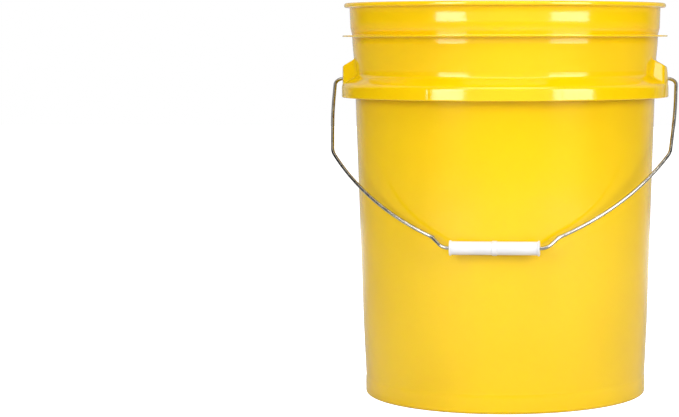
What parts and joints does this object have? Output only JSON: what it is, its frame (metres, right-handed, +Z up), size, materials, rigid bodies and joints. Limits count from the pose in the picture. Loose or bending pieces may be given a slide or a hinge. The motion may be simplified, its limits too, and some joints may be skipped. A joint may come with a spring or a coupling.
{
  "type": "plastic bucket with wire bail",
  "caption": "Tall tapered open-top plastic bucket with a stacking flange, a hollow skirt with two ears, and a swinging wire bail that carries a rolling sleeve grip.",
  "frame": {"origin": "centre of the underside, in the plane that the bucket stands on", "axes": "+Z up through the open mouth, X through the two ears, -Y to the side that the bail leans on at rest"},
  "size_m": [0.3252, 0.3078, 0.368],
  "materials": {
    "yellow_plastic": "injection-moulded polyethylene, satin to gloss",
    "steel_wire": "drawn and galvanised wire",
    "white_plastic": "moulded polyethylene, satin"
  },
  "bodies": {
    "bucket": {"bucket_body": "yellow_plastic"},
    "bail": {"bail_wire": "steel_wire"},
    "grip": {"grip_sleeve": "white_plastic"}
  },
  "joints": [
    {"name": "bail_swing", "type": "hinge", "parent": "bucket", "child": "bail", "pos_m": [0, 0, 0.2972], "axis": [-1, 0, 0], "range_deg": [0, 270.8]},
    {"name": "grip_roll", "type": "hinge", "parent": "bail", "child": "grip", "pos_m": [0, -0.14443, 0.15074], "axis": [1, 0, 0], "continuous": true}
  ]
}
